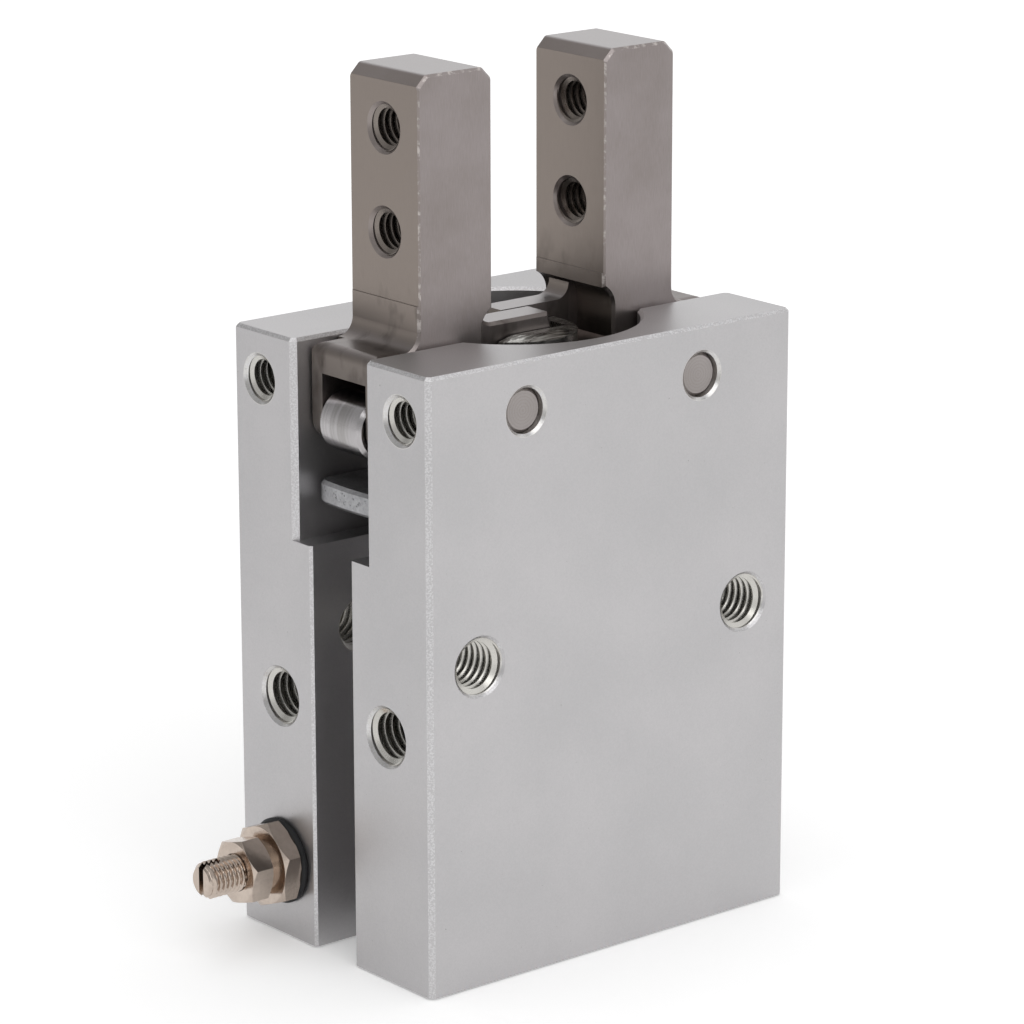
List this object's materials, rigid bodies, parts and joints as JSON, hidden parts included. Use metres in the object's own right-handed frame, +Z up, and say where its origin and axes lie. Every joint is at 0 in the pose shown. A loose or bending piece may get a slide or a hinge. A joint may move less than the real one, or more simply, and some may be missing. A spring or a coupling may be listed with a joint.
{
  "type": "pneumatic angular gripper",
  "caption": "Small double-acting air gripper whose two jaws swing on cross pins, driven by opposed pistons in a slotted block.",
  "frame": {"origin": "middle of the body's bottom face", "axes": "+Z up along the jaws, X the way the jaws swing, -Y out of the front face with the pin ends"},
  "size_m": [0.0504, 0.0274, 0.0787],
  "materials": {
    "anodised_aluminium": "clear anodised over a fine matt blast",
    "cap_aluminium": "turned, clear anodised",
    "piston_aluminium": "turned bright",
    "nitrile_rubber": "moulded black rubber",
    "bumper_urethane": "cast amber urethane",
    "bonded_magnet": "moulded ferrite",
    "spring_steel": "blackened spring steel",
    "ground_pin_steel": "ground, with turned end faces",
    "polished_roller_steel": "hardened and polished",
    "jaw_steel": "heat-treated and fine ground",
    "fork_steel": "hardened, worn bright at its edges",
    "sintered_steel": "sintered, left rough",
    "nickel_plate": "bright nickel plate on brass"
  },
  "bodies": {
    "housing": {"body_block": "anodised_aluminium", "end_cap": "cap_aluminium", "cap_seal": "nitrile_rubber", "retaining_ring": "spring_steel", "end_bumper": "bumper_urethane", "pivot_pin_left": "ground_pin_steel", "pivot_pin_right": "ground_pin_steel", "needle_gasket": "nitrile_rubber", "needle_bush": "nickel_plate", "needle_locknut": "nickel_plate"},
    "opening_drive": {"opening_piston": "piston_aluminium", "opening_piston_seal": "nitrile_rubber", "magnet_ring": "bonded_magnet", "piston_bumper": "bumper_urethane", "piston_rod": "ground_pin_steel", "centre_fork": "fork_steel"},
    "closing_drive": {"closing_piston": "piston_aluminium", "closing_piston_seal": "nitrile_rubber", "rod_seal": "nitrile_rubber", "side_pusher_plate": "sintered_steel"},
    "jaw_right": {"finger_right": "jaw_steel", "roller_pin_right": "ground_pin_steel"},
    "jaw_left": {"finger_left": "jaw_steel", "roller_pin_left": "ground_pin_steel"},
    "roller_right": {"side_roller_right": "polished_roller_steel"},
    "roller_left": {"side_roller_left": "polished_roller_steel"},
    "needle": {"needle_screw": "nickel_plate"}
  },
  "joints": [
    {"name": "jaw_right_swing", "type": "hinge", "parent": "housing", "child": "jaw_right", "pos_m": [0.01, 0, 0.0507], "axis": [0, 1, 0], "range_deg": [-5, 15]},
    {"name": "jaw_left_swing", "type": "hinge", "parent": "housing", "child": "jaw_left", "pos_m": [-0.01, 0, 0.0507], "axis": [0, -1, 0], "range_deg": [-5, 15]},
    {"name": "opening_stroke", "type": "slide", "parent": "housing", "child": "opening_drive", "axis": [0, 0, 1], "range_m": [-0.00087, 0.00262]},
    {"name": "closing_stroke", "type": "slide", "parent": "housing", "child": "closing_drive", "axis": [0, 0, 1], "range_m": [-0.00182, 0.00061]},
    {"name": "roller_right_spin", "type": "hinge", "parent": "jaw_right", "child": "roller_right", "pos_m": [0.01695, 0, 0.04805], "axis": [0, 1, 0], "continuous": true},
    {"name": "roller_left_spin", "type": "hinge", "parent": "jaw_left", "child": "roller_left", "pos_m": [-0.01695, 0, 0.04805], "axis": [0, 1, 0], "continuous": true},
    {"name": "needle_turn", "type": "hinge", "parent": "housing", "child": "needle", "pos_m": [-0.0207, 0.0076, 0.00695], "axis": [-1, 0, 0], "range_deg": [-360, 720]}
  ],
  "couplings": [
    {"joint": "jaw_left_swing", "follows": "jaw_right_swing", "ratio": 1},
    {"joint": "opening_stroke", "follows": "jaw_right_swing", "m_per_rad": 0.01},
    {"joint": "closing_stroke", "follows": "jaw_right_swing", "m_per_rad": -0.00695}
  ]
}
